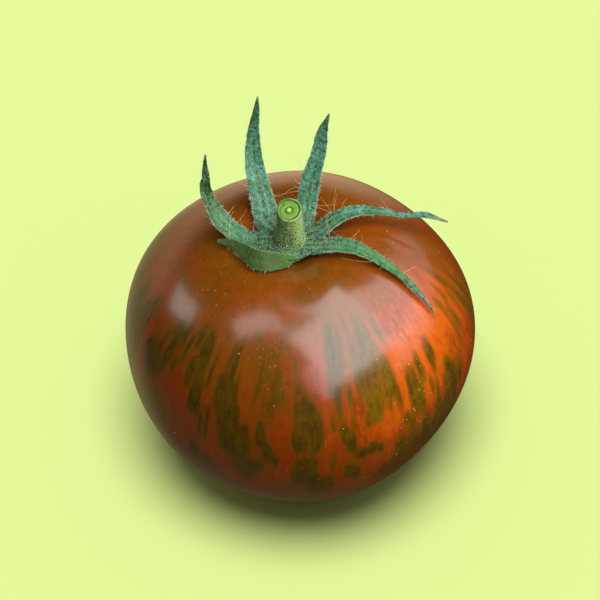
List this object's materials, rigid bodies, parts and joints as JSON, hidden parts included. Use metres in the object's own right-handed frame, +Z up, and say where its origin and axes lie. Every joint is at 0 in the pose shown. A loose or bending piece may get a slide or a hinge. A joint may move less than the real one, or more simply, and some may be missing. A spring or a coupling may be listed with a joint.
{
  "type": "black zebra tomato",
  "caption": "Round striped tomato, as picked, with its green calyx and a cut stub of stem, resting on a small flat spot under the fruit.",
  "frame": {"origin": "middle of the small flat spot under the fruit, on the surface that it rests on", "axes": "+Z up through the fruit; -Y towards the side where the sixth sepal is curled; +X to the right as seen from -Y"},
  "size_m": [0.058, 0.0572, 0.064],
  "materials": {
    "striped_skin": "gloss",
    "sepal_green": "matte",
    "stem_green": "matte"
  },
  "bodies": {
    "root": {"fruit": "striped_skin", "calyx": "sepal_green", "stem": "stem_green"}
  },
  "joints": []
}
